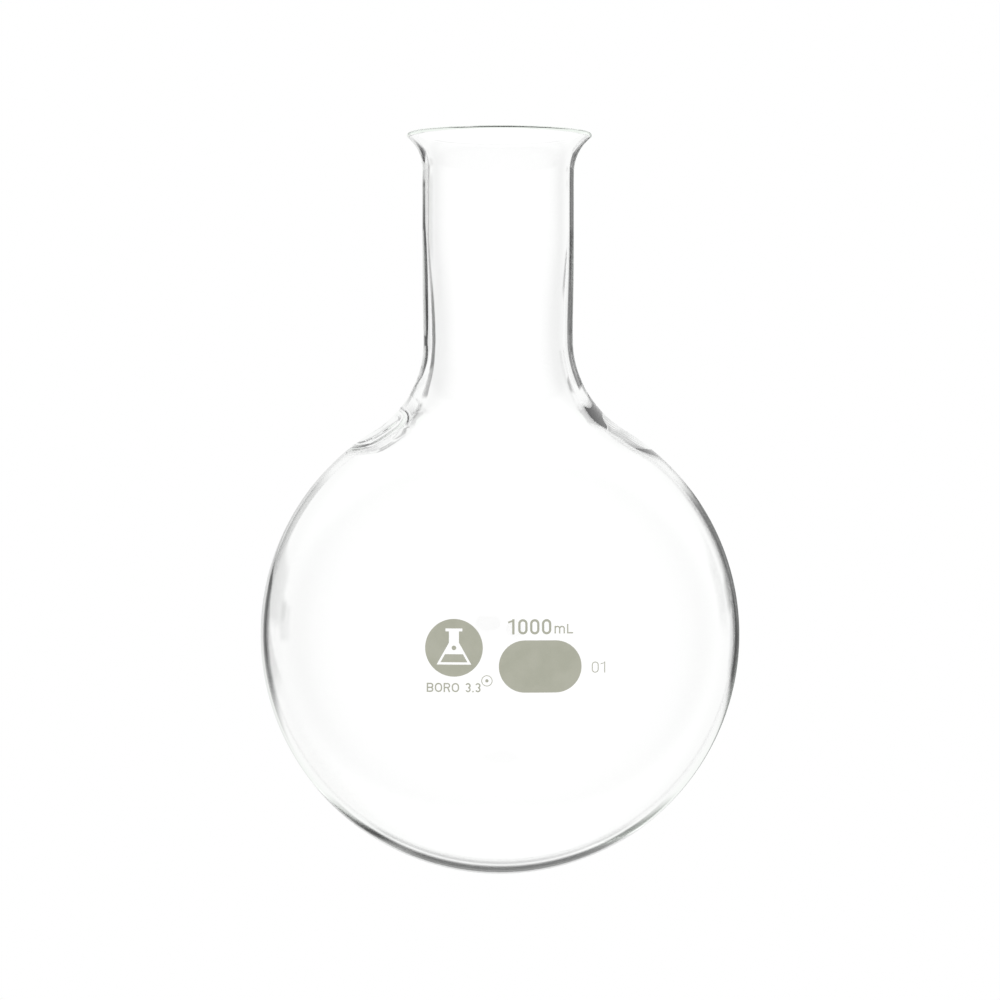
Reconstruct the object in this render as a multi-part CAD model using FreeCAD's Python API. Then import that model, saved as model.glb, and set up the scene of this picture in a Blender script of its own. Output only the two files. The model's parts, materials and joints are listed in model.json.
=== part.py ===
# Round-bottom boiling flask, 1000 mL: a blown bulb, a neck sealed onto it, and fired enamel marks.
#
# Millimetres, +Z up the neck, origin at the lowest point of the bulb, enamel marks on the -Y side.
# Each entry of PIECES is written to parts/NAME.step.

import FreeCAD, Part

import math
import os

# ---- glass, outside ----
BULB_RADIUS = 65.5  # 131 mm across
TOTAL_HEIGHT = 202.8  # lowest point of the bulb to the top of the lip
NECK_RADIUS = 20.8  # the neck's straight stretch
SHOULDER_RADIUS = 28.0  # concave sweep from the neck onto the bulb
FLARE_RADIUS = 12.0  # concave sweep under the lip
FLARE_TURN = math.radians(50)  # how far the lip leans out from the neck
LIP_THICKNESS = 1.5  # fire-polished edge of the lip

# ---- glass, inside ----
BORE_RADIUS = 19.4  # parallel bore where a stopper seats
CAVITY_RADIUS = 64.2  # half width of the bulb's cavity
CAVITY_HALF_HEIGHT = 63.4  # the cavity is an ellipsoid, a little flatter than it is wide
CAVITY_RAISE = 0.3  # its centre stands this far above the bulb's centre
THROAT_RADIUS = 18.2  # narrowest bore, in the thick glass at the foot of the neck
THROAT_RISE = 2.0  # throat above the foot of the neck's straight stretch
SEAT_RISE = 32.0  # foot of the parallel bore above the foot of the straight stretch
TAPER_PULL = 9.0  # tangent length at both ends of the taper from the bore to the throat
SWEEP_TOP_PULL = 12.0  # tangent lengths of the curve from the throat into the cavity
SWEEP_FOOT_PULL = 15.0

# ---- enamel: places are in the front view, X across and Z up ----
FILM = 0.05  # thickness of the fired enamel
EMBLEM_CENTRE = (-11.95, 63.85)
EMBLEM_RADIUS = 7.5
RING_CENTRE = (-3.4, 55.3)
RING_RADIUS = 1.45
RING_STROKE = 0.2
DOT_RADIUS = 0.42
PATCH_CENTRE = (10.45, 59.0)
PATCH_SIZE = (21.5, 13.6)

# the flask left clear in the emblem, measured from the emblem's centre
FLASK_FOOT = -4.35
FLASK_SHOULDER = 1.35
FLASK_TOP = 4.65
FLASK_HALF_FOOT = 4.5
FLASK_HALF_NECK = 1.3
FLASK_HALF_MOUTH = 2.2
FLASK_MOUTH_HEIGHT = 0.75
LIQUID_LEVELS = (-3.75, -1.65)
LIQUID_CLEARANCE = 0.65  # between the liquid and the flask's sides
BUBBLE_RADIUS = 0.6

# node: text, its lower left corner, letter height, stroke width, gap between letters
LETTERING = {
    "grade_mark": ("BORO 3.3", (-19.05, 52.3), 2.4, 0.36, 0.38),
    "capacity_number": ("1000", (2.1, 67.35), 3.95, 0.6, 0.65),
    "capacity_unit": ("mL", (14.15, 67.55), 2.45, 0.34, 0.57),
    "batch_number": ("01", (23.9, 57.25), 2.9, 0.24, 0.5),
}

# width of each letter, as a share of its height
LETTER_WIDTHS = {"1": 0.5, "0": 0.615, "3": 0.6, "O": 0.8, "B": 0.72, "R": 0.72, "L": 0.65, "m": 1.1}
LETTER_WIDTHS |= {".": 0.15, " ": 0.35}
ONE_STEM = 0.42  # right edge of the 1's stem
ONE_FLAG = (0.78, 0.9)  # lower and upper end of the 1's flag
SMALL_LETTER = 0.82  # height of a small letter

# ---- places that follow from the dimensions ----
BULB_CENTRE = BULB_RADIUS  # height above the origin
SHOULDER_X = NECK_RADIUS + SHOULDER_RADIUS  # centre of the shoulder's sweep
SHOULDER_Z = BULB_CENTRE + math.sqrt((BULB_RADIUS + SHOULDER_RADIUS) ** 2 - SHOULDER_X**2)
SEAL_ANGLE = math.atan2(SHOULDER_X, SHOULDER_Z - BULB_CENTRE)  # seal of neck and bulb, from the axis


def at(x, z):
    """A point of the XZ plane."""
    return FreeCAD.Vector(x, 0, z)


def turned(length, angle):
    """A vector of the XZ plane, angle from +X towards +Z."""
    return at(length * math.cos(angle), length * math.sin(angle))


def line(a, b):
    return Part.LineSegment(a, b).toShape()


def arc(centre, radius, start, end):
    """Circular edge in the XZ plane, angles from +X towards +Z."""
    middle = (start + end) / 2
    points = [centre + turned(radius, angle) for angle in (start, middle, end)]
    return Part.Arc(*points).toShape()


def bezier(*poles):
    curve = Part.BezierCurve()
    curve.setPoles(list(poles))
    return curve.toShape()


def face(edges):
    """Flat face inside the closed outline that the edges make."""
    return Part.Face(Part.Wire(Part.__sortEdges__(edges)))


def revolve(edges):
    """Solid of revolution about Z from the half section that the edges make."""
    solid = face(edges).revolve(at(0, 0), at(0, 1), 360)
    return solid if solid.Volume > 0 else solid.reversed()


# ---- glass ----
def cavity_point(angle):
    """Point of the cavity's ellipse, and the tangent there, at a parameter from its equator up."""
    across, up = math.cos(angle), math.sin(angle)
    point = at(CAVITY_RADIUS * across, BULB_CENTRE + CAVITY_RAISE + CAVITY_HALF_HEIGHT * up)
    tangent = at(-CAVITY_RADIUS * up, CAVITY_HALF_HEIGHT * across)
    return point, tangent.normalize()


SEAL_OUTSIDE = at(0, BULB_CENTRE) + turned(BULB_RADIUS, math.pi / 2 - SEAL_ANGLE)
SEAL_INSIDE, SEAL_TANGENT = cavity_point(math.pi / 2 - SEAL_ANGLE)


def cavity_edge():
    """The cavity's outline from its lowest point up to the seal."""
    centre = at(0, BULB_CENTRE + CAVITY_RAISE)
    far_side = centre - at(CAVITY_RADIUS, 0)  # the ellipse starts and ends on the side that isn't used
    ellipse = Part.Ellipse(far_side, centre + at(0, CAVITY_HALF_HEIGHT), centre)
    ends = [ellipse.parameter(centre - at(0, CAVITY_HALF_HEIGHT)), ellipse.parameter(SEAL_INSIDE)]
    return Part.ArcOfEllipse(ellipse, min(ends), max(ends)).toBSpline().toShape()


def bulb():
    """Blown body: a sphere outside, an ellipsoid inside, thickest at the bottom."""
    cavity_floor = at(0, BULB_CENTRE + CAVITY_RAISE - CAVITY_HALF_HEIGHT)
    outside = arc(at(0, BULB_CENTRE), BULB_RADIUS, -math.pi / 2, math.pi / 2 - SEAL_ANGLE)
    seal = line(SEAL_OUTSIDE, SEAL_INSIDE)
    return revolve([outside, seal, cavity_edge(), line(cavity_floor, at(0, 0))])


def neck():
    """Neck tube: trumpet foot on the seal, thick throat, parallel bore, flared lip."""
    lip_angle = math.pi - FLARE_TURN
    outward = turned(1, math.pi / 2 - FLARE_TURN)  # along the lip's section, to its edge
    flare_rise = (FLARE_RADIUS + LIP_THICKNESS / 2) * math.sin(FLARE_TURN)
    flare_centre = at(NECK_RADIUS + FLARE_RADIUS, TOTAL_HEIGHT - LIP_THICKNESS / 2 - flare_rise)
    lip_outside = flare_centre + turned(FLARE_RADIUS, lip_angle)
    lip_inside = lip_outside + turned(LIP_THICKNESS, lip_angle)
    lip_edge = (lip_outside + lip_inside) / 2 + outward * (LIP_THICKNESS / 2)

    inner_flare = (lip_inside.x - BORE_RADIUS) / (1 - math.cos(FLARE_TURN))
    bore_top = at(BORE_RADIUS, lip_inside.z - inner_flare * math.sin(FLARE_TURN))
    seat_foot = at(BORE_RADIUS, SHOULDER_Z + SEAT_RISE)
    throat = at(THROAT_RADIUS, SHOULDER_Z + THROAT_RISE)
    taper = at(0, TAPER_PULL)
    sweep_foot = SEAL_INSIDE + SEAL_TANGENT * SWEEP_FOOT_PULL
    shoulder = at(SHOULDER_X, SHOULDER_Z)
    outside = [
        arc(shoulder, SHOULDER_RADIUS, math.pi, 1.5 * math.pi - SEAL_ANGLE),
        line(at(NECK_RADIUS, SHOULDER_Z), at(NECK_RADIUS, flare_centre.z)),
        arc(flare_centre, FLARE_RADIUS, math.pi, lip_angle),
        Part.Arc(lip_outside, lip_edge, lip_inside).toShape(),
    ]
    inside = [
        arc(bore_top + at(inner_flare, 0), inner_flare, math.pi, lip_angle),
        line(bore_top, seat_foot),
        bezier(seat_foot, seat_foot - taper, throat + taper, throat),
        bezier(throat, throat - at(0, SWEEP_TOP_PULL), sweep_foot, SEAL_INSIDE),
    ]
    return revolve([*outside, *inside, line(SEAL_INSIDE, SEAL_OUTSIDE)])


# ---- enamel: flat outlines in the front view, pressed onto the bulb ----
def polygon(points):
    corners = [at(x, z) for x, z in points]
    return Part.Face(Part.makePolygon(corners + corners[:1]))


def disc(centre, radius):
    circle = Part.makeCircle(radius, at(*centre), FreeCAD.Vector(0, 1, 0))
    return Part.Face(Part.Wire(circle))


def printed(outlines, cuts=()):
    """Enamel inside the outlines and outside the cuts, on the front of the bulb."""
    centre = at(0, BULB_CENTRE)
    film = Part.makeSphere(BULB_RADIUS + FILM, centre).cut(Part.makeSphere(BULB_RADIUS, centre))

    def block(outline):
        moved = outline.translated(FreeCAD.Vector(0, -BULB_RADIUS / 2, 0))
        return moved.extrude(FreeCAD.Vector(0, -BULB_RADIUS, 0))

    body = block(outlines[0])
    if len(outlines) > 1:
        body = body.fuse([block(outline) for outline in outlines[1:]])
    for outline in cuts:
        body = body.cut(block(outline))
    pieces = body.common(film).Solids
    return Part.Compound(pieces) if len(pieces) > 1 else pieces[0]


def bar(a, b, width):
    """Straight stroke from a to b."""
    (ax, az), (bx, bz) = a, b
    run = math.hypot(bx - ax, bz - az)
    nx, nz = (az - bz) / run * width / 2, (bx - ax) / run * width / 2
    return polygon([(ax + nx, az + nz), (bx + nx, bz + nz), (bx - nx, bz - nz), (ax - nx, az - nz)])


def bend(centre, radius, start, end, width):
    """Curved stroke, angles in degrees from +X towards +Z."""
    middle = at(*centre)
    a, b = math.radians(start), math.radians(end)
    outer, inner = radius + width / 2, radius - width / 2
    caps = [line(middle + turned(outer, angle), middle + turned(inner, angle)) for angle in (a, b)]
    return face([arc(middle, outer, a, b), arc(middle, inner, a, b), *caps])


def one(x, z, wide, height, width):
    stem = x + ONE_STEM * height - width / 2
    flag_low, flag_high = (z + share * height for share in ONE_FLAG)
    return [
        bar((stem, z), (stem, z + height), width),
        bar((x, flag_low), (stem, flag_high), width * 0.8),
    ]


def ring_letter(x, z, wide, height, width):
    """0 and O: two half rings and the straight sides between them."""
    r = (wide - width) / 2
    mid = x + wide / 2
    low, high = z + width / 2 + r, z + height - width / 2 - r
    strokes = [bend((mid, high), r, 0, 180, width), bend((mid, low), r, 180, 360, width)]
    return strokes + [bar((side, low), (side, high), width) for side in (mid - r, mid + r)]


def three(x, z, wide, height, width):
    r = (height - width) / 4
    mid = x + wide / 2
    low, high = z + width / 2 + r, z + height - width / 2 - r
    return [bend((mid, high), r, -90, 160, width), bend((mid, low), r, -160, 90, width)]


def bowled_letter(x, z, wide, height, width, leg):
    """B, and R with a leg in place of the lower bowl."""
    r = (height - width) / 4
    left, turn = x + width / 2, x + wide - width / 2 - r
    low, mid, high = z + width / 2, z + height / 2, z + height - width / 2
    strokes = [bar((left, z), (left, z + height), width), bend((turn, high - r), r, -90, 90, width)]
    strokes += [bar((left, level), (turn, level), width) for level in (mid, high)]
    if leg:
        strokes.append(bar((turn, mid), (x + wide - width / 2, z), width))
    else:
        strokes.append(bar((left, low), (turn, low), width))
        strokes.append(bend((turn, low + r), r, -90, 90, width))
    return strokes


def capital_l(x, z, wide, height, width):
    left, low = x + width / 2, z + width / 2
    return [bar((left, z), (left, z + height), width), bar((x, low), (x + wide, low), width)]


def small_m(x, z, wide, height, width):
    """Three legs under two arches."""
    r = (wide - width) / 4
    left = x + width / 2
    top = z + SMALL_LETTER * height
    spring = top - width / 2 - r
    strokes = [bar((left, z), (left, top), width)]
    for leg in (left + 2 * r, left + 4 * r):
        strokes.append(bend((leg - r, spring), r, 0, 180, width))
        strokes.append(bar((leg, z), (leg, spring), width))
    return strokes


def letter(name, x, z, height, width):
    """Strokes of one letter or figure whose lower left corner is at x, z."""
    wide = LETTER_WIDTHS[name] * height
    if name == "1":
        return one(x, z, wide, height, width)
    if name in "0O":
        return ring_letter(x, z, wide, height, width)
    if name == "3":
        return three(x, z, wide, height, width)
    if name in "BR":
        return bowled_letter(x, z, wide, height, width, leg=name == "R")
    if name == "L":
        return capital_l(x, z, wide, height, width)
    if name == "m":
        return small_m(x, z, wide, height, width)
    if name == ".":
        return [bar((x + width / 2, z), (x + width / 2, z + width), width)]
    return []


def lettering(text, corner, height, width, gap):
    """Enamel of a line of text."""
    x, z = corner
    strokes = []
    for name in text:
        strokes += letter(name, x, z, height, width)
        x += LETTER_WIDTHS[name] * height + gap
    return printed(strokes)


def emblem():
    """Plain badge: a disc with a conical flask left clear in it."""
    x, z = EMBLEM_CENTRE
    right_side = [
        (FLASK_HALF_FOOT, FLASK_FOOT),
        (FLASK_HALF_NECK, FLASK_SHOULDER),
        (FLASK_HALF_NECK, FLASK_TOP),
    ]
    left_side = [(-across, up) for across, up in reversed(right_side)]
    flask = polygon([(x + across, z + up) for across, up in right_side + left_side])
    mouth_z = z + FLASK_TOP
    mouth = bar((x - FLASK_HALF_MOUTH, mouth_z), (x + FLASK_HALF_MOUTH, mouth_z), FLASK_MOUTH_HEIGHT)
    return printed([disc(EMBLEM_CENTRE, EMBLEM_RADIUS)], cuts=[flask, mouth])


def emblem_liquid():
    """The liquid drawn inside the badge's flask, with a round bubble above it."""
    x, z = EMBLEM_CENTRE
    slope = (FLASK_HALF_FOOT - FLASK_HALF_NECK) / (FLASK_SHOULDER - FLASK_FOOT)
    low, high = LIQUID_LEVELS
    wide, narrow = (
        FLASK_HALF_FOOT - slope * (level - FLASK_FOOT) - LIQUID_CLEARANCE for level in LIQUID_LEVELS
    )
    corners = [(-wide, low), (wide, low), (narrow, high), (-narrow, high)]
    liquid = polygon([(x + across, z + up) for across, up in corners])
    return printed([liquid, disc(EMBLEM_CENTRE, BUBBLE_RADIUS)])


def ring_mark():
    """Small ring with a dot in it."""
    ring = printed([disc(RING_CENTRE, RING_RADIUS)], cuts=[disc(RING_CENTRE, RING_RADIUS - RING_STROKE)])
    return Part.Compound([ring, printed([disc(RING_CENTRE, DOT_RADIUS)])])


def marking_patch():
    """Ground for pencil notes: a long oval with round ends."""
    x, z = PATCH_CENTRE
    r = PATCH_SIZE[1] / 2
    half = PATCH_SIZE[0] / 2 - r
    edges = [
        arc(at(x + half, z), r, -math.pi / 2, math.pi / 2),
        line(at(x + half, z + r), at(x - half, z + r)),
        arc(at(x - half, z), r, math.pi / 2, 1.5 * math.pi),
        line(at(x - half, z - r), at(x + half, z - r)),
    ]
    return printed([face(edges)])


PIECES = {
    "bulb": bulb(),
    "neck": neck(),
    "emblem": emblem(),
    "emblem_liquid": emblem_liquid(),
    "ring_mark": ring_mark(),
    "marking_patch": marking_patch(),
}
for name, words in LETTERING.items():
    PIECES[name] = lettering(*words)

os.makedirs("parts", exist_ok=True)
for name, shape in PIECES.items():
    shape.exportStep(f"parts/{name}.step")
    print(name, len(shape.Solids), "solids", round(shape.Volume, 3), "mm3, valid", shape.isValid())
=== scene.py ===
"""Looks of the round-bottom boiling flask: clear lathe-made glass with fired enamel marks, in a white studio.

Metres, in the CAD frame: +Z up the neck, the origin at the lowest point of the bulb, the marks on -Y.
"""

import json
import math

import bpy
import numpy as np
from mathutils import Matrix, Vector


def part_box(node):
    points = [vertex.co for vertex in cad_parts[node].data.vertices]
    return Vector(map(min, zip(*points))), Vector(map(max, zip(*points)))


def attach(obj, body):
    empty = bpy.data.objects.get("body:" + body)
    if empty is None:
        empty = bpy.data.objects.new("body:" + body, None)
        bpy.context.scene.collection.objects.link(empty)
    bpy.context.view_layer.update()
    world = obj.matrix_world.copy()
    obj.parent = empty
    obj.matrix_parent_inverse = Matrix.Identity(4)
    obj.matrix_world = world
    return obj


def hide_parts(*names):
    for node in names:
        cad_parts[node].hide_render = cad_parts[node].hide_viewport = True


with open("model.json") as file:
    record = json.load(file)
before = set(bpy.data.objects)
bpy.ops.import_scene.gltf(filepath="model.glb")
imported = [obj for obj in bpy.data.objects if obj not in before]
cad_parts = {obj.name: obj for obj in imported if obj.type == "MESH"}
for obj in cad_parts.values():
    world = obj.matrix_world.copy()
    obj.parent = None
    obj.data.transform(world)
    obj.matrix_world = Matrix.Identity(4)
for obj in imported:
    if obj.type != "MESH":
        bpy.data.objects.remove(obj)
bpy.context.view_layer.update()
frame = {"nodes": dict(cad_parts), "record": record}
mounts = {mount["name"]: mount for mount in frame["record"]["mounts"]}

MM = 0.001

# ---- sizes from the frame ----
BULB_RADIUS = mounts["bulb_seat"]["dims"]["r_mm"] * MM
NECK_RADIUS = mounts["neck_grip"]["dims"]["r_mm"] * MM
BORE_RADIUS = mounts["mouth"]["dims"]["r_mm"] * MM
TOTAL_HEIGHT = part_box("neck")[1].z

# ---- the glass between those sizes, as in the CAD ----
INK_GAP = 0.03 * MM  # the glass stands this far inside the CAD's, so that the enamel doesn't cross it
SHOULDER_RADIUS = 28.0 * MM
SHOULDER_X = NECK_RADIUS + SHOULDER_RADIUS
NECK_FOOT = BULB_RADIUS + math.sqrt((BULB_RADIUS + SHOULDER_RADIUS) ** 2 - SHOULDER_X**2)
FLARE_RADIUS = 12.0 * MM
FLARE_TURN = math.radians(50)
LIP_THICKNESS = 1.5 * MM
CAVITY_RADIUS = 64.2 * MM
CAVITY_HALF_HEIGHT = 63.4 * MM
CAVITY_RAISE = 0.3 * MM
THROAT_RADIUS = 18.2 * MM
THROAT_RISE = 2.0 * MM
SEAT_RISE = 32.0 * MM
TAPER_PULL = 9.0 * MM
SWEEP_TOP_PULL = 12.0 * MM
SWEEP_FOOT_PULL = 15.0 * MM

# ---- unevenness of the blown glass ----
NECK_LEAN = -0.55 * MM  # along X, growing between the next two heights
LEAN_START = NECK_FOOT - 28 * MM
LEAN_END = NECK_FOOT + 5 * MM
LIP_RETURN = 0.35 * MM  # the lip leans this much less
RETURN_START = TOTAL_HEIGHT - 14 * MM
WAIST = 0.3 * MM  # how much narrower the foot of the neck was drawn
WAIST_HEIGHT = NECK_FOOT + 2 * MM
WAIST_SPREAD = 12 * MM
CAVITY_SHIFT = 0.15 * MM  # the bulb's wall is thinner on the +X side
SHIFT_FADE = 20 * MM  # the shift dies out over this far below the neck's foot

# thicker spots left inside the shoulder by the glass blower:
# way round from +X and way down from the bulb's top in degrees, their half widths in degrees, depth
SHOULDER_SPOTS = ((180, 31, 24, 5.5, 2.2 * MM), (0, 32, 24, 7, 0.4 * MM))

AROUND = 192  # steps round the axis

# ---- glass and enamel ----
GLASS_IOR = 1.474
# from 0, seen squarely, to 1, seen edge-on, and the glass's colour there: on the outside it turns darker and
# faintly green edge-on, a green tint with painted shade along the outlines
GRAZING_TINT_AND_SHADE = (
    (0.0, (1.0, 1.0, 1.0)),
    (0.77, (0.99, 1.0, 0.99)),
    (0.83, (0.98, 1.0, 0.98)),
    (1.0, (0.96, 0.99, 0.96)),
)
# Painted glow: where light is still in the wall after the most bounces, the glass emits a glow nearly as
# bright as the studio, except in a band round the shoulder, which gets no glow and stays dark.
MOST_BOUNCES = 24
PAINTED_TRAPPED_GLOW = (0.9, 0.95, 0.9)
SHOULDER_HEIGHT = 117 * MM
SHOULDER_BAND = 16 * MM  # half height of that band

# The enamel is white; these olive-grey colours are partly its own warm tint and partly painted shade, the
# grey it shows with bright light behind it.
ENAMEL_DARK = (0.430, 0.436, 0.352)
ENAMEL_LIGHT = (0.462, 0.466, 0.382)
CLOUD_SIZE = 5 * MM
GRAIN_SIZE = 0.25 * MM
GRAIN_DARK = 0.95  # brightness of the grain's darkest points
GLOSS_SIZE = 1 * MM
SMOOTHEST, ROUGHEST = 0.52, 0.68

# ---- camera ----
CAMERA_HEIGHT = 102.2 * MM
CAMERA_DISTANCE = 1215 * MM
CAMERA_LENS = 159.7
SENSOR_WIDTH = 36

# ---- studio ----
FLOOR_RADIUS = 8.0
SKY_DROP = 1.7  # the middle of the studio's back is this many degrees below level


# ---- glass: half section ----
def arc(centre, radius, start, end, count):
    angles = np.linspace(start, end, count)
    return np.stack([centre[0] + radius * np.cos(angles), centre[1] + radius * np.sin(angles)], axis=1)


def straight(a, b, count):
    share = np.linspace(0, 1, count)[:, None]
    return np.array(a) * (1 - share) + np.array(b) * share


def bezier(a, b, c, d, count):
    t = np.linspace(0, 1, count)[:, None]
    a, b, c, d = (np.array(p, float) for p in (a, b, c, d))
    return a * (1 - t) ** 3 + 3 * b * t * (1 - t) ** 2 + 3 * c * t**2 * (1 - t) + d * t**3


def half_section():
    """Outline of the glass from the lowest point outside, over the lip, to the lowest point inside.

    Returns the points (radius, height) and how many of them are outside the lip's edge.
    The last value of each run is its number of points.
    """
    bulb_radius = BULB_RADIUS - INK_GAP
    neck_radius = NECK_RADIUS - INK_GAP
    centre = BULB_RADIUS
    seal = math.atan2(SHOULDER_X, NECK_FOOT - centre)
    cap = LIP_THICKNESS / 2
    lip_angle = math.pi - FLARE_TURN
    flare_x = NECK_RADIUS + FLARE_RADIUS
    flare_z = TOTAL_HEIGHT - cap - (FLARE_RADIUS + cap) * math.sin(FLARE_TURN)
    lip = (
        flare_x + (FLARE_RADIUS + cap) * math.cos(lip_angle),
        flare_z + (FLARE_RADIUS + cap) * math.sin(lip_angle),
    )
    lip_inside_x = flare_x + (FLARE_RADIUS + LIP_THICKNESS) * math.cos(lip_angle)
    lip_inside_z = flare_z + (FLARE_RADIUS + LIP_THICKNESS) * math.sin(lip_angle)
    inner_flare = (lip_inside_x - BORE_RADIUS) / (1 - math.cos(FLARE_TURN))
    bore_top = lip_inside_z - inner_flare * math.sin(FLARE_TURN)

    outside = [
        arc((0, centre), bulb_radius, -math.pi / 2, math.pi / 2 - seal, 150),
        arc((SHOULDER_X, NECK_FOOT), SHOULDER_RADIUS + INK_GAP, 1.5 * math.pi - seal, math.pi, 36),
        straight((neck_radius, NECK_FOOT), (neck_radius, flare_z), 30),
        arc((flare_x, flare_z), FLARE_RADIUS + INK_GAP, math.pi, lip_angle, 24),
        arc(lip, cap - INK_GAP, lip_angle - math.pi, lip_angle - math.pi / 2, 8),
    ]
    seal_inside = (
        CAVITY_RADIUS * math.sin(seal),
        centre + CAVITY_RAISE + CAVITY_HALF_HEIGHT * math.cos(seal),
    )
    tangent = np.array([-CAVITY_RADIUS * math.cos(seal), CAVITY_HALF_HEIGHT * math.sin(seal)])
    sweep_foot = np.array(seal_inside) + tangent / np.linalg.norm(tangent) * SWEEP_FOOT_PULL
    seat = (BORE_RADIUS, NECK_FOOT + SEAT_RISE)
    throat = (THROAT_RADIUS, NECK_FOOT + THROAT_RISE)
    down = np.linspace(math.pi / 2 - seal, -math.pi / 2, 140)
    cavity = np.stack(
        [
            CAVITY_RADIUS * np.cos(down),
            centre + CAVITY_RAISE + CAVITY_HALF_HEIGHT * np.sin(down),
        ],
        axis=1,
    )
    inside = [
        arc(lip, cap - INK_GAP, lip_angle - math.pi / 2, lip_angle, 8),
        arc((BORE_RADIUS + inner_flare, bore_top), inner_flare, lip_angle, math.pi, 24),
        straight((BORE_RADIUS, bore_top), seat, 22),
        bezier(seat, (seat[0], seat[1] - TAPER_PULL), (throat[0], throat[1] + TAPER_PULL), throat, 12),
        bezier(throat, (throat[0], throat[1] - SWEEP_TOP_PULL), sweep_foot, seal_inside, 30),
        cavity,
    ]

    def joined(runs):
        return np.concatenate([runs[0]] + [run[1:] for run in runs[1:]])

    outer = joined(outside)
    inner = joined(inside)[1:]
    return np.concatenate([outer, inner]), len(outer)


def smooth(value, low, high):
    """0 below low, 1 above high, smooth between."""
    share = np.clip((value - low) / (high - low), 0, 1)
    return share * share * (3 - 2 * share)


def lean(height):
    """How far the outside of the neck stands off the axis, along X."""
    rise = smooth(height, LEAN_START, LEAN_END)
    back = smooth(height, RETURN_START, TOTAL_HEIGHT)
    return NECK_LEAN * rise + LIP_RETURN * back


def cavity_shift(height):
    """How far the cavity stands off the axis, along X."""
    return CAVITY_SHIFT * (1 - smooth(height, NECK_FOOT - SHIFT_FADE, NECK_FOOT))


def waist(height):
    """How much narrower the foot of the neck was drawn."""
    return WAIST * np.exp(-(((height - WAIST_HEIGHT) / WAIST_SPREAD) ** 2))


def thickened(places, centre):
    """Inside points moved towards the middle of the bulb at the thicker spots."""
    offset = places - centre
    distance = np.linalg.norm(offset, axis=1)
    way_round = np.degrees(np.arctan2(offset[:, 1], offset[:, 0]))
    way_down = np.degrees(np.arccos(offset[:, 2] / distance))
    for spot_round, spot_down, wide, tall, depth in SHOULDER_SPOTS:
        apart = (way_round - spot_round + 180) % 360 - 180
        share = np.exp(-((apart / wide) ** 4) - ((way_down - spot_down) / tall) ** 4)
        offset = offset - offset / distance[:, None] * (depth * share)[:, None]
    return centre + offset


def glass_body():
    """The whole vessel as one closed mesh, turned about the axis and then made uneven as blown glass is."""
    points, outer_count = half_section()
    ring = points[1:-1]
    inside = np.arange(len(ring)) >= outer_count - 1
    turn = np.arange(AROUND) * 2 * math.pi / AROUND
    radius = np.where(inside, ring[:, 0], ring[:, 0] - waist(ring[:, 1]))[:, None]
    shift = (lean(ring[:, 1]) + np.where(inside, cavity_shift(ring[:, 1]), 0))[:, None]
    height = np.repeat(ring[:, 1:], AROUND, axis=1)
    places = np.stack([radius * np.cos(turn) + shift, radius * np.sin(turn), height], axis=2).reshape(-1, 3)
    within_wall = np.repeat(inside, AROUND)
    places[within_wall] = thickened(places[within_wall], np.array([0, 0, BULB_RADIUS]))
    places = np.concatenate([places, [[0, 0, points[0, 1]], [CAVITY_SHIFT, 0, points[-1, 1]]]])
    rows = len(ring)
    low_pole, high_pole = rows * AROUND, rows * AROUND + 1
    faces = []
    for row in range(rows - 1):
        for step in range(AROUND):
            a = row * AROUND + step
            b = row * AROUND + (step + 1) % AROUND
            faces.append((a, b, b + AROUND, a + AROUND))
    last = (rows - 1) * AROUND
    for step in range(AROUND):
        after = (step + 1) % AROUND
        faces.append((low_pole, after, step))
        faces.append((high_pole, last + step, last + after))
    mesh = bpy.data.meshes.new("glass_body")
    mesh.from_pydata(places.tolist(), [], faces)
    mesh.polygons.foreach_set("use_smooth", [True] * len(mesh.polygons))
    outside = mesh.attributes.new("outside", "FLOAT", "POINT")
    shares = np.repeat(~inside, AROUND).astype(float)
    outside.data.foreach_set("value", np.append(shares, (1.0, 0.0)))
    mesh.update()
    body = bpy.data.objects.new("glass_body", mesh)
    bpy.context.scene.collection.objects.link(body)
    return body


# ---- materials ----
def new_material(name):
    material = bpy.data.materials.new(name)
    material.use_nodes = True
    nodes = material.node_tree.nodes
    shader = nodes["Principled BSDF"]
    return material, nodes, material.node_tree.links, shader


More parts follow.
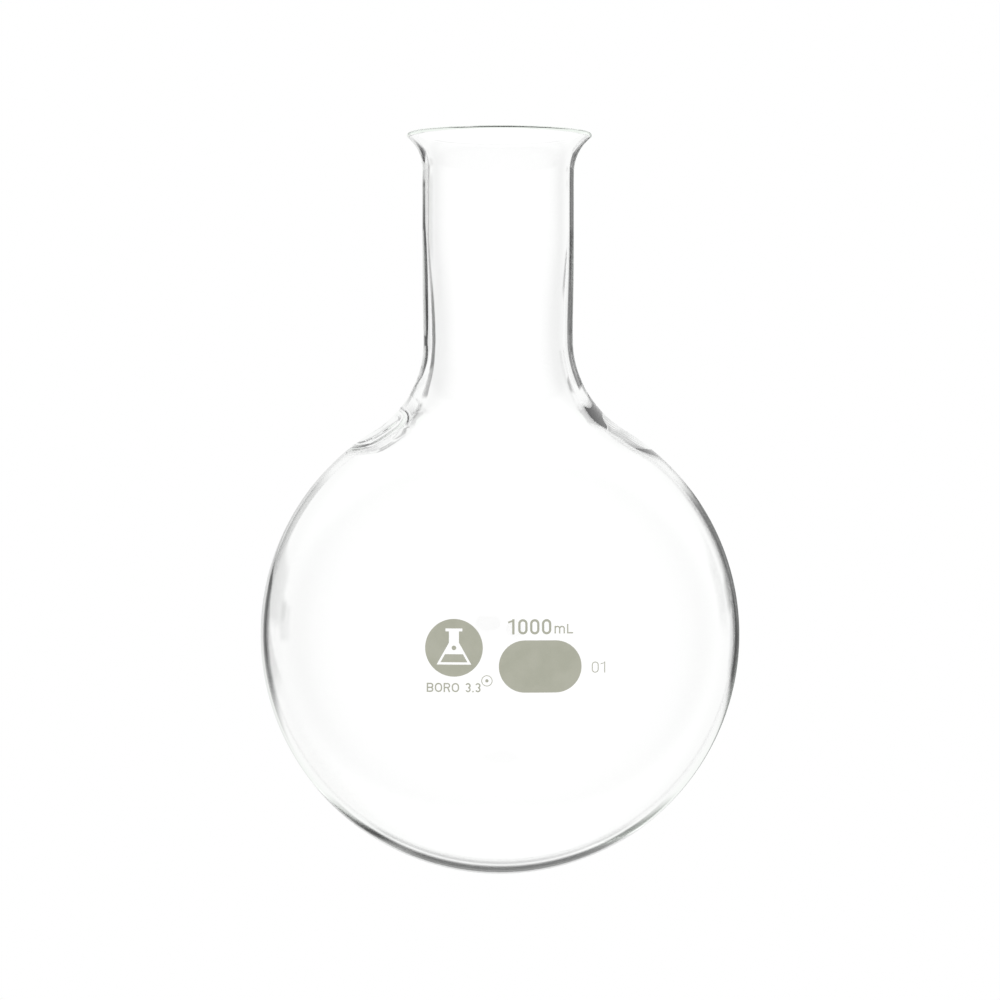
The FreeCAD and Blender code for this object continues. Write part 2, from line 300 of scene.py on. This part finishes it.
def glass_material():
    material, nodes, links, shader = new_material("borosilicate_glass")
    shader.inputs["Transmission Weight"].default_value = 1.0
    shader.inputs["IOR"].default_value = GLASS_IOR
    shader.inputs["Roughness"].default_value = 0.0
    # Painted shade: the outside's colour darkens as it turns edge-on, by the ramp below, along with a faint
    # green tint.
    facing = nodes.new("ShaderNodeLayerWeight")
    facing.inputs["Blend"].default_value = 0.5
    outside = nodes.new("ShaderNodeAttribute")
    outside.attribute_name = "outside"
    grazing = nodes.new("ShaderNodeMath")
    grazing.operation = "MULTIPLY"
    links.new(facing.outputs["Facing"], grazing.inputs[0])
    links.new(outside.outputs["Fac"], grazing.inputs[1])
    ramp = nodes.new("ShaderNodeValToRGB")
    for place, colour in GRAZING_TINT_AND_SHADE[1:-1]:
        ramp.color_ramp.elements.new(place).color = (*colour, 1)
    ramp.color_ramp.elements[0].color = (*GRAZING_TINT_AND_SHADE[0][1], 1)
    ramp.color_ramp.elements[-1].color = (*GRAZING_TINT_AND_SHADE[-1][1], 1)
    links.new(grazing.outputs[0], ramp.inputs["Fac"])
    links.new(ramp.outputs["Color"], shader.inputs["Base Color"])

    # Painted glow: the glass emits a pale glow where a path reaches the most bounces, except in the band
    # round the shoulder.
    path = nodes.new("ShaderNodeLightPath")
    trapped = nodes.new("ShaderNodeMath")
    trapped.operation = "COMPARE"
    trapped.inputs[1].default_value = MOST_BOUNCES
    trapped.inputs[2].default_value = 0.5
    links.new(path.outputs["Ray Depth"], trapped.inputs[0])
    height = nodes.new("ShaderNodeSeparateXYZ")
    links.new(nodes.new("ShaderNodeNewGeometry").outputs["Position"], height.inputs[0])
    shoulder = nodes.new("ShaderNodeMath")
    shoulder.operation = "COMPARE"
    shoulder.inputs[1].default_value = SHOULDER_HEIGHT
    shoulder.inputs[2].default_value = SHOULDER_BAND
    links.new(height.outputs["Z"], shoulder.inputs[0])
    glow = nodes.new("ShaderNodeMath")
    glow.operation = "GREATER_THAN"
    links.new(trapped.outputs[0], glow.inputs[0])
    links.new(shoulder.outputs[0], glow.inputs[1])
    shader.inputs["Emission Color"].default_value = (*PAINTED_TRAPPED_GLOW, 1)
    links.new(glow.outputs[0], shader.inputs["Emission Strength"])
    return material


def enamel_material():
    material, nodes, links, shader = new_material("fired_enamel")
    place = nodes.new("ShaderNodeTexCoord").outputs["Object"]

    def noise(size, detail):
        node = nodes.new("ShaderNodeTexNoise")
        node.inputs["Scale"].default_value = 1 / size
        node.inputs["Detail"].default_value = detail
        links.new(place, node.inputs["Vector"])
        return node.outputs["Fac"]

    def ramp(source, low, high):
        node = nodes.new("ShaderNodeValToRGB")
        node.color_ramp.elements[0].position = 0.35
        node.color_ramp.elements[0].color = (*low, 1)
        node.color_ramp.elements[1].position = 0.65
        node.color_ramp.elements[1].color = (*high, 1)
        links.new(source, node.inputs["Fac"])
        return node.outputs["Color"]

    clouds = ramp(noise(CLOUD_SIZE, 2), ENAMEL_DARK, ENAMEL_LIGHT)
    grain = ramp(noise(GRAIN_SIZE, 3), (GRAIN_DARK,) * 3, (1.0,) * 3)
    colour = nodes.new("ShaderNodeVectorMath")
    colour.operation = "MULTIPLY"
    links.new(clouds, colour.inputs[0])
    links.new(grain, colour.inputs[1])
    links.new(colour.outputs["Vector"], shader.inputs["Base Color"])
    gloss = ramp(noise(GLOSS_SIZE, 2), (SMOOTHEST,) * 3, (ROUGHEST,) * 3)
    links.new(gloss, shader.inputs["Roughness"])
    return material


# ---- studio ----
class Sky:
    """Node maths over the directions of the studio, in degrees as seen from the flask.

    sideways is the turn from straight behind the flask towards +X, and upward is the climb from level.
    off and around are the same direction as a distance from the middle of the back and a turn about it.
    A zone is 1 inside and 0 outside, and each range is given as (from, to, half width of its soft edge).
    """

    def __init__(self, tree):
        self.nodes = tree.nodes
        self.links = tree.links
        parts = self.nodes.new("ShaderNodeSeparateXYZ")
        way = self.nodes.new("ShaderNodeTexCoord").outputs["Generated"]
        self.links.new(way, parts.inputs[0])
        x, y, z = parts.outputs
        self.sideways = self.in_degrees(self.maths("ARCTAN2", x, y))
        self.upward = self.in_degrees(self.maths("ARCSINE", z))
        rise = self.maths("ADD", self.upward, SKY_DROP)
        squares = self.maths("ADD", self.times(self.sideways, self.sideways), self.times(rise, rise))
        self.off = self.maths("SQRT", squares)
        self.across = self.maths("ABSOLUTE", self.sideways)
        self.around = self.in_degrees(self.maths("ARCTAN2", rise, self.across))
        self.ahead = self.within(self.sideways, (-60, 60, 12))
        right = self.maths("GREATER_THAN", self.sideways, 0)
        self.left = self.opposite(right)
        right_turn = self.within(self.around, (-60, 38, 4))
        left_turn = self.within(self.around, (-60, 40, 4))
        self.right_side = self.times(right, self.times(right_turn, self.step(rise, -7, -4)))
        self.left_side = self.times(self.left, self.times(left_turn, self.step(rise, -11, -5)))

    def put(self, source, socket):
        if isinstance(source, (int, float)):
            socket.default_value = source
        else:
            self.links.new(source, socket)

    def maths(self, operation, *sources):
        node = self.nodes.new("ShaderNodeMath")
        node.operation = operation
        for source, socket in zip(sources, node.inputs):
            self.put(source, socket)
        return node.outputs[0]

    def in_degrees(self, angle):
        return self.maths("MULTIPLY", angle, 180 / math.pi)

    def times(self, a, b):
        return self.maths("MULTIPLY", a, b)

    def opposite(self, share):
        return self.maths("SUBTRACT", 1, share)

    def equal(self, a, b):
        return self.maths("COMPARE", a, b, 0.5)

    def step(self, source, low, high):
        """0 below low, 1 above high, smooth between."""
        node = self.nodes.new("ShaderNodeMapRange")
        node.interpolation_type = "SMOOTHSTEP"
        self.put(source, node.inputs["Value"])
        node.inputs["From Min"].default_value = low
        node.inputs["From Max"].default_value = high
        return node.outputs["Result"]

    def blend(self, share, a, b):
        return self.maths("ADD", self.times(self.opposite(share), a), self.times(share, b))

    def within(self, source, span):
        """1 inside the range, 0 outside, with soft edges."""
        low, high, edge = span
        above = self.step(source, low - edge, low + edge)
        return self.times(above, self.opposite(self.step(source, high - edge, high + edge)))

    def block(self, sideways, upward):
        """The zone between two turns and two climbs."""
        return self.times(self.within(self.sideways, sideways), self.within(self.upward, upward))

    def ring(self, zone, off):
        """The part of a zone between two distances from the middle of the back."""
        return self.times(zone, self.within(self.off, off))

    def painted(self, light, layers):
        """The light with each layer's zone turned to its brightness, one after another."""
        for zone, brightness in layers:
            light = self.blend(zone, light, brightness)
        return light


def direct_light(sky):
    """Seen through the glass with no reflection on the way."""
    backdrop = sky.blend(sky.step(sky.across, 3, 9), 1.08, 0.97)
    by_neck = sky.block((13, 24, 1), (-1, 4.4, 0.6))
    right_edge = sky.times(sky.ring(sky.right_side, (16.5, 22, 1.5)), sky.opposite(by_neck))
    steep = sky.times(sky.within(sky.around, (50, 76, 3)), sky.within(sky.off, (22, 45, 2)))
    layers = (
        (sky.ring(sky.left_side, (18, 48, 1)), 0.03),
        (right_edge, 0.15),
        (sky.times(sky.left, steep), 0.03),
    )
    return sky.painted(backdrop, layers)


def guided_light(sky):
    """Reflected once inside the wall."""
    slanted = sky.maths("ADD", sky.off, sky.times(sky.upward, 1.2))
    low_left = sky.times(sky.left_side, sky.opposite(sky.step(sky.upward, 3.2, 4.6)))
    left_span = sky.times(sky.step(sky.off, 12, 24), sky.opposite(sky.step(slanted, 30, 33)))
    neck_gap = sky.times(sky.within(sky.off, (47, 57, 2)), sky.within(sky.upward, (-3, 5, 1)))
    below = sky.times(sky.within(sky.around, (-150, -57, 4)), sky.ahead)
    layers = (
        (sky.times(low_left, left_span), sky.blend(sky.step(sky.off, 19, 23), 0.14, 0.0)),
        (sky.block((-25, -5, 2), (2.0, 4.0, 0.5)), 0.05),
        (sky.times(sky.left, neck_gap), 0.0),
        (sky.ring(sky.right_side, (3, 33, 2.5)), 0.07),
        (sky.block((5, 30, 2), (2.0, 4.5, 0.5)), 0.2),
        (sky.ring(below, (12, 24, 1.5)), 0.05),
        (sky.ring(below, (28, 32, 1.5)), 0.45),
    )
    return sky.painted(sky.blend(sky.ahead, 0.25, 1.0), layers)


def mirrored_light(sky):
    """Reflected off the outside."""
    below = sky.times(sky.within(sky.around, (-150, -44, 4)), sky.ahead)
    high_left = sky.times(sky.ring(sky.left, (22, 50, 3)), sky.within(sky.upward, (0.5, 11, 1.5)))
    layers = (
        (sky.ring(sky.left_side, (2, 20, 2)), 0.8),
        (sky.ring(sky.left_side, (20, 33, 1.5)), 0.1),
        (sky.block((-54, -31, 1), (1.8, 6, 1)), 0.1),
        (high_left, 0.1),
        (sky.ring(sky.right_side, (2, 29, 1.5)), 0.15),
        (sky.block((28, 37, 1), (1.8, 6, 1)), 0.15),
        (sky.ring(below, (17, 30, 1.5)), 0.1),
    )
    return sky.painted(sky.blend(sky.ahead, 0.5, 0.95), layers)


def deeper_light(sky):
    """Into one wall and out again, with any other number of reflections."""
    front = sky.block((-30, 12, 4), (-6, 8, 1.5))
    layers = (
        (sky.block((15, 31, 4), (-10, 12, 2)), 0.05),
        (sky.block((9, 31, 3), (-10, -2, 1.5)), 0.05),
    )
    return sky.painted(sky.blend(front, 0.95, 0.4), layers)


def crossed_light(sky):
    """Through both walls, with one or more reflections on the way."""
    lower_left = sky.block((-36, -22, 3), (-12, -3, 2))
    layers = ((sky.block((-8, 1, 2), (-12, 1, 2)), 0.1),)
    return sky.painted(sky.blend(lower_left, 1.0, 0.05), layers)


def studio():
    """A white studio whose dark areas differ for each kind of path that light takes through the glass.

    Crossings are surfaces gone through, two for each wall. No real room looks like this: its dark areas
    stand where the outlines of the glass show them from the camera.
    """
    world = bpy.data.worlds.new("studio")
    bpy.context.scene.world = world
    world.use_nodes = True
    tree = world.node_tree
    tree.nodes.clear()
    sky = Sky(tree)
    direct = direct_light(sky)
    path = tree.nodes.new("ShaderNodeLightPath")
    crossings = path.outputs["Transmission Depth"]
    depth = sky.maths("SUBTRACT", path.outputs["Ray Depth"], 1)  # the studio itself counts as one more bounce
    layers = (
        (sky.equal(crossings, 0), mirrored_light(sky)),
        (sky.equal(crossings, 2), deeper_light(sky)),
        (sky.equal(crossings, 4), crossed_light(sky)),
        (sky.times(sky.equal(crossings, 2), sky.equal(depth, 3)), guided_light(sky)),
        (sky.times(sky.equal(crossings, 2), sky.equal(depth, 2)), direct),
        (sky.times(sky.equal(crossings, 4), sky.equal(depth, 4)), direct),
        (path.outputs["Is Diffuse Ray"], 1.0),
        (path.outputs["Is Camera Ray"], 1.0),
    )
    background = tree.nodes.new("ShaderNodeBackground")
    background.inputs["Color"].default_value = (1, 1, 1, 1)
    sky.put(sky.painted(0.95, layers), background.inputs["Strength"])
    output = tree.nodes.new("ShaderNodeOutputWorld")
    tree.links.new(background.outputs[0], output.inputs["Surface"])


def floor():
    """A plain white floor, seen by the camera but neither through the glass nor in it."""
    bpy.ops.mesh.primitive_circle_add(vertices=64, radius=FLOOR_RADIUS, fill_type="NGON", location=(0, 0, 0))
    plane = bpy.context.object
    plane.name = "floor"
    material = bpy.data.materials.new("floor")
    material.use_nodes = True
    nodes, links = material.node_tree.nodes, material.node_tree.links
    nodes.clear()
    glow = nodes.new("ShaderNodeEmission")
    glow.inputs["Strength"].default_value = 1.0
    output = nodes.new("ShaderNodeOutputMaterial")
    links.new(glow.outputs[0], output.inputs["Surface"])
    plane.data.materials.append(material)
    plane.visible_transmission = False
    plane.visible_glossy = False


def camera():
    data = bpy.data.cameras.new("camera")
    data.sensor_width = SENSOR_WIDTH
    data.lens = CAMERA_LENS
    data.clip_start = 10 * MM
    stand = bpy.data.objects.new("camera", data)
    stand.location = (0, -CAMERA_DISTANCE, CAMERA_HEIGHT)
    stand.rotation_euler = (math.radians(90), 0, 0)
    bpy.context.scene.collection.objects.link(stand)
    bpy.context.scene.camera = stand


body = glass_body()
body.data.materials.append(glass_material())
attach(body, "root")
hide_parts("bulb", "neck")
enamel = enamel_material()
for name, node in frame["nodes"].items():
    if name not in ("bulb", "neck"):
        node.data.materials.clear()
        node.data.materials.append(enamel)

camera()
studio()
floor()
bpy.context.scene.view_settings.view_transform = "Standard"
bpy.context.scene.cycles.max_bounces = MOST_BOUNCES
bpy.context.scene.cycles.transmission_bounces = MOST_BOUNCES
bpy.context.scene.cycles.glossy_bounces = MOST_BOUNCES
